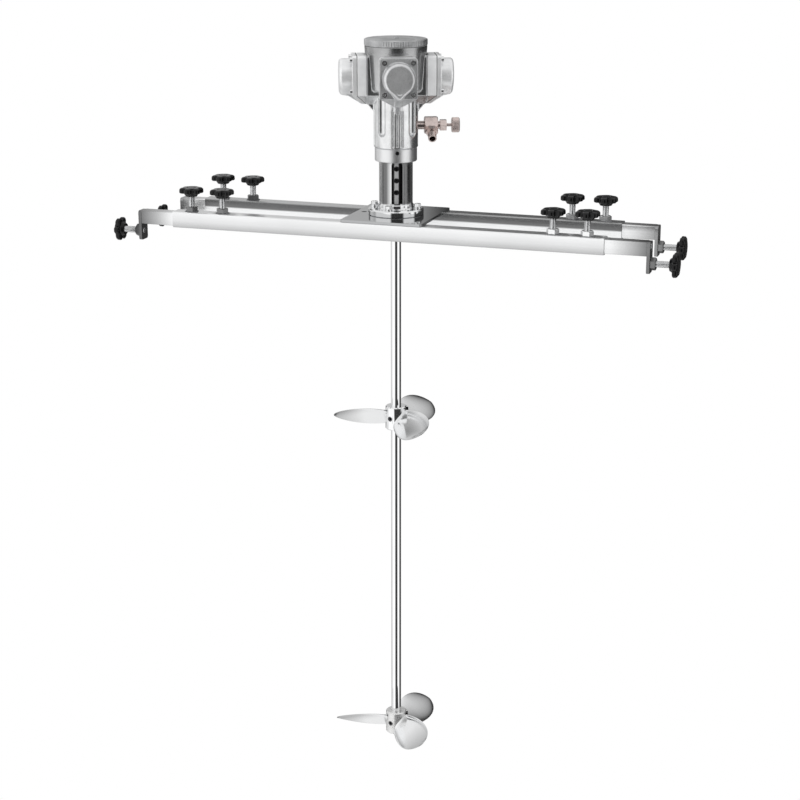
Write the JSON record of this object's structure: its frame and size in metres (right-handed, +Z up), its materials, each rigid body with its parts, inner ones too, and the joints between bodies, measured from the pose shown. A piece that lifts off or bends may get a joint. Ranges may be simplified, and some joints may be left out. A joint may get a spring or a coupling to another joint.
{
  "type": "tank agitator",
  "caption": "Air-driven tank agitator on telescopic cross rails that clamp to a tank's rim, with a long shaft and two propellers.",
  "frame": {"origin": "where the shaft's axis crosses the plane of the outer rails' undersides", "axes": "+Z up along the shaft to the motor; +X along the rails to the right; -Y is the front rail's side"},
  "size_m": [0.902, 0.1847, 1.1485],
  "materials": {
    "rail_steel": "polished stainless tube with a fine brushed grain",
    "plate_steel": "mirror-rolled stainless plate",
    "cast_aluminium": "satin cast aluminium with a fine grain",
    "head_aluminium": "bead-blasted cast aluminium",
    "cover_aluminium": "rough cast aluminium",
    "pedestal_steel": "turned and polished steel",
    "bright_zinc": "bright zinc plating",
    "dark_steel": "oiled black steel",
    "knob_plastic": "glossy black moulded plastic",
    "shaft_steel": "mirror-polished stainless",
    "hub_casting": "satin cast stainless with polished blades",
    "nickel_brass": "nickel-plated brass",
    "sintered_bronze": "porous sintered bronze",
    "ground_steel": "ground and hardened steel",
    "seal_rubber": "black seal rubber",
    "gasket_sheet": "thin gasket sheet",
    "bush_bronze": "machined bronze"
  },
  "bodies": {
    "root": {"outer_rail_front": "rail_steel", "outer_rail_rear": "rail_steel", "mounting_plate": "plate_steel", "pedestal": "pedestal_steel", "flange_bolts": "bright_zinc", "collar_screws": "dark_steel", "motor_housing": "cast_aluminium", "top_cover": "cover_aluminium", "motor_screws": "bright_zinc", "head_gaskets": "gasket_sheet", "pistons": "cast_aluminium", "connecting_rods": "ground_steel", "main_bearings": "ground_steel", "shaft_seal": "seal_rubber", "distributor_sleeve": "bush_bronze", "exhaust_silencer": "sintered_bronze", "inlet_nipple": "nickel_brass", "valve_body": "nickel_brass", "valve_bonnet": "nickel_brass", "hose_port": "nickel_brass", "cylinder_head_front": "head_aluminium", "cylinder_head_right": "head_aluminium", "cylinder_head_rear": "head_aluminium", "cylinder_head_left": "head_aluminium"},
    "rotor": {"crankshaft": "ground_steel", "coupling": "shaft_steel", "agitator_shaft": "shaft_steel", "upper_propeller": "shaft_steel", "lower_propeller": "hub_casting", "rotor_set_screws": "dark_steel"},
    "valve_needle": {"valve_needle": "nickel_brass"},
    "valve_knob": {"valve_knob": "nickel_brass"},
    "inner_rail_front_left": {"inner_rail_front_left": "rail_steel"},
    "clamp_stud_front_left": {"clamp_stud_front_left": "bright_zinc"},
    "clamp_knob_front_left": {"clamp_knob_front_left": "knob_plastic"},
    "lock_stud_front_left_outboard": {"lock_stud_front_left_outboard": "bright_zinc"},
    "lock_knob_front_left_outboard": {"lock_knob_front_left_outboard": "knob_plastic"},
    "lock_stud_front_left_inboard": {"lock_stud_front_left_inboard": "bright_zinc"},
    "lock_knob_front_left_inboard": {"lock_knob_front_left_inboard": "knob_plastic"},
    "inner_rail_front_right": {"inner_rail_front_right": "rail_steel"},
    "clamp_stud_front_right": {"clamp_stud_front_right": "bright_zinc"},
    "clamp_knob_front_right": {"clamp_knob_front_right": "knob_plastic"},
    "lock_stud_front_right_outboard": {"lock_stud_front_right_outboard": "bright_zinc"},
    "lock_knob_front_right_outboard": {"lock_knob_front_right_outboard": "knob_plastic"},
    "lock_stud_front_right_inboard": {"lock_stud_front_right_inboard": "bright_zinc"},
    "lock_knob_front_right_inboard": {"lock_knob_front_right_inboard": "knob_plastic"},
    "inner_rail_rear_left": {"inner_rail_rear_left": "rail_steel"},
    "clamp_stud_rear_left": {"clamp_stud_rear_left": "bright_zinc"},
    "clamp_knob_rear_left": {"clamp_knob_rear_left": "knob_plastic"},
    "lock_stud_rear_left_outboard": {"lock_stud_rear_left_outboard": "bright_zinc"},
    "lock_knob_rear_left_outboard": {"lock_knob_rear_left_outboard": "knob_plastic"},
    "lock_stud_rear_left_inboard": {"lock_stud_rear_left_inboard": "bright_zinc"},
    "lock_knob_rear_left_inboard": {"lock_knob_rear_left_inboard": "knob_plastic"},
    "inner_rail_rear_right": {"inner_rail_rear_right": "rail_steel"},
    "clamp_stud_rear_right": {"clamp_stud_rear_right": "bright_zinc"},
    "clamp_knob_rear_right": {"clamp_knob_rear_right": "knob_plastic"},
    "lock_stud_rear_right_outboard": {"lock_stud_rear_right_outboard": "bright_zinc"},
    "lock_knob_rear_right_outboard": {"lock_knob_rear_right_outboard": "knob_plastic"},
    "lock_stud_rear_right_inboard": {"lock_stud_rear_right_inboard": "bright_zinc"},
    "lock_knob_rear_right_inboard": {"lock_knob_rear_right_inboard": "knob_plastic"}
  },
  "joints": [
    {"name": "shaft_spin", "type": "hinge", "parent": "root", "child": "rotor", "pos_m": [0, 0, 0], "axis": [0, 0, 1], "continuous": true},
    {"name": "extension_front_left", "type": "slide", "parent": "root", "child": "inner_rail_front_left", "axis": [-1, 0, 0], "range_m": [-0.05, 0.1]},
    {"name": "clamp_front_left_travel", "type": "slide", "parent": "inner_rail_front_left", "child": "clamp_stud_front_left", "axis": [-1, 0, 0], "range_m": [-0.018, 0.006]},
    {"name": "clamp_front_left_turn", "type": "hinge", "parent": "clamp_stud_front_left", "child": "clamp_knob_front_left", "pos_m": [-0.405, -0.0625, -0.01], "axis": [-1, 0, 0], "range_deg": [-4321, 1441]},
    {"name": "lock_front_left_outboard_travel", "type": "slide", "parent": "root", "child": "lock_stud_front_left_outboard", "axis": [0, 0, 1], "range_m": [0, 0.00375]},
    {"name": "lock_front_left_outboard_turn", "type": "hinge", "parent": "lock_stud_front_left_outboard", "child": "lock_knob_front_left_outboard", "pos_m": [-0.317, -0.0625, 0.025], "axis": [0, 0, 1], "range_deg": [0, 901]},
    {"name": "lock_front_left_inboard_travel", "type": "slide", "parent": "root", "child": "lock_stud_front_left_inboard", "axis": [0, 0, 1], "range_m": [0, 0.00375]},
    {"name": "lock_front_left_inboard_turn", "type": "hinge", "parent": "lock_stud_front_left_inboard", "child": "lock_knob_front_left_inboard", "pos_m": [-0.265, -0.0625, 0.025], "axis": [0, 0, 1], "range_deg": [0, 901]},
    {"name": "extension_front_right", "type": "slide", "parent": "root", "child": "inner_rail_front_right", "axis": [1, 0, 0], "range_m": [-0.058, 0.092]},
    {"name": "clamp_front_right_travel", "type": "slide", "parent": "inner_rail_front_right", "child": "clamp_stud_front_right", "axis": [1, 0, 0], "range_m": [-0.018, 0.006]},
    {"name": "clamp_front_right_turn", "type": "hinge", "parent": "clamp_stud_front_right", "child": "clamp_knob_front_right", "pos_m": [0.413, -0.0625, -0.01], "axis": [1, 0, 0], "range_deg": [-4321, 1441]},
    {"name": "lock_front_right_outboard_travel", "type": "slide", "parent": "root", "child": "lock_stud_front_right_outboard", "axis": [0, 0, 1], "range_m": [0, 0.00375]},
    {"name": "lock_front_right_outboard_turn", "type": "hinge", "parent": "lock_stud_front_right_outboard", "child": "lock_knob_front_right_outboard", "pos_m": [0.317, -0.0625, 0.025], "axis": [0, 0, 1], "range_deg": [0, 901]},
    {"name": "lock_front_right_inboard_travel", "type": "slide", "parent": "root", "child": "lock_stud_front_right_inboard", "axis": [0, 0, 1], "range_m": [0, 0.00375]},
    {"name": "lock_front_right_inboard_turn", "type": "hinge", "parent": "lock_stud_front_right_inboard", "child": "lock_knob_front_right_inboard", "pos_m": [0.265, -0.0625, 0.025], "axis": [0, 0, 1], "range_deg": [0, 901]},
    {"name": "extension_rear_left", "type": "slide", "parent": "root", "child": "inner_rail_rear_left", "axis": [-1, 0, 0], "range_m": [-0.035, 0.115]},
    {"name": "clamp_rear_left_travel", "type": "slide", "parent": "inner_rail_rear_left", "child": "clamp_stud_rear_left", "axis": [-1, 0, 0], "range_m": [-0.018, 0.006]},
    {"name": "clamp_rear_left_turn", "type": "hinge", "parent": "clamp_stud_rear_left", "child": "clamp_knob_rear_left", "pos_m": [-0.39, 0.0625, -0.01], "axis": [-1, 0, 0], "range_deg": [-4321, 1441]},
    {"name": "lock_rear_left_outboard_travel", "type": "slide", "parent": "root", "child": "lock_stud_rear_left_outboard", "axis": [0, 0, 1], "range_m": [0, 0.00375]},
    {"name": "lock_rear_left_outboard_turn", "type": "hinge", "parent": "lock_stud_rear_left_outboard", "child": "lock_knob_rear_left_outboard", "pos_m": [-0.317, 0.0625, 0.025], "axis": [0, 0, 1], "range_deg": [0, 901]},
    {"name": "lock_rear_left_inboard_travel", "type": "slide", "parent": "root", "child": "lock_stud_rear_left_inboard", "axis": [0, 0, 1], "range_m": [0, 0.00375]},
    {"name": "lock_rear_left_inboard_turn", "type": "hinge", "parent": "lock_stud_rear_left_inboard", "child": "lock_knob_rear_left_inboard", "pos_m": [-0.265, 0.0625, 0.025], "axis": [0, 0, 1], "range_deg": [0, 901]},
    {"name": "extension_rear_right", "type": "slide", "parent": "root", "child": "inner_rail_rear_right", "axis": [1, 0, 0], "range_m": [-0.046, 0.104]},
    {"name": "clamp_rear_right_travel", "type": "slide", "parent": "inner_rail_rear_right", "child": "clamp_stud_rear_right", "axis": [1, 0, 0], "range_m": [-0.018, 0.006]},
    {"name": "clamp_rear_right_turn", "type": "hinge", "parent": "clamp_stud_rear_right", "child": "clamp_knob_rear_right", "pos_m": [0.401, 0.0625, -0.01], "axis": [1, 0, 0], "range_deg": [-4321, 1441]},
    {"name": "lock_rear_right_outboard_travel", "type": "slide", "parent": "root", "child": "lock_stud_rear_right_outboard", "axis": [0, 0, 1], "range_m": [0, 0.00375]},
    {"name": "lock_rear_right_outboard_turn", "type": "hinge", "parent": "lock_stud_rear_right_outboard", "child": "lock_knob_rear_right_outboard", "pos_m": [0.317, 0.0625, 0.025], "axis": [0, 0, 1], "range_deg": [0, 901]},
    {"name": "lock_rear_right_inboard_travel", "type": "slide", "parent": "root", "child": "lock_stud_rear_right_inboard", "axis": [0, 0, 1], "range_m": [0, 0.00375]},
    {"name": "lock_rear_right_inboard_turn", "type": "hinge", "parent": "lock_stud_rear_right_inboard", "child": "lock_knob_rear_right_inboard", "pos_m": [0.265, 0.0625, 0.025], "axis": [0, 0, 1], "range_deg": [0, 901]},
    {"name": "valve_travel", "type": "slide", "parent": "root", "child": "valve_needle", "axis": [0.9252, 0.3795, 0], "range_m": [0, 0.002]},
    {"name": "valve_turn", "type": "hinge", "parent": "valve_needle", "child": "valve_knob", "pos_m": [0.0791, 0.03244, 0.1655], "axis": [0.9252, 0.3795, 0], "range_deg": [0, 721]}
  ],
  "couplings": [
    {"joint": "clamp_front_left_turn", "follows": "clamp_front_left_travel", "rad_per_m": 4188.8},
    {"joint": "lock_front_left_outboard_turn", "follows": "lock_front_left_outboard_travel", "rad_per_m": 4188.8},
    {"joint": "lock_front_left_inboard_turn", "follows": "lock_front_left_inboard_travel", "rad_per_m": 4188.8},
    {"joint": "clamp_front_right_turn", "follows": "clamp_front_right_travel", "rad_per_m": 4188.8},
    {"joint": "lock_front_right_outboard_turn", "follows": "lock_front_right_outboard_travel", "rad_per_m": 4188.8},
    {"joint": "lock_front_right_inboard_turn", "follows": "lock_front_right_inboard_travel", "rad_per_m": 4188.8},
    {"joint": "clamp_rear_left_turn", "follows": "clamp_rear_left_travel", "rad_per_m": 4188.8},
    {"joint": "lock_rear_left_outboard_turn", "follows": "lock_rear_left_outboard_travel", "rad_per_m": 4188.8},
    {"joint": "lock_rear_left_inboard_turn", "follows": "lock_rear_left_inboard_travel", "rad_per_m": 4188.8},
    {"joint": "clamp_rear_right_turn", "follows": "clamp_rear_right_travel", "rad_per_m": 4188.8},
    {"joint": "lock_rear_right_outboard_turn", "follows": "lock_rear_right_outboard_travel", "rad_per_m": 4188.8},
    {"joint": "lock_rear_right_inboard_turn", "follows": "lock_rear_right_inboard_travel", "rad_per_m": 4188.8},
    {"joint": "valve_turn", "follows": "valve_travel", "rad_per_m": 6283.2}
  ]
}
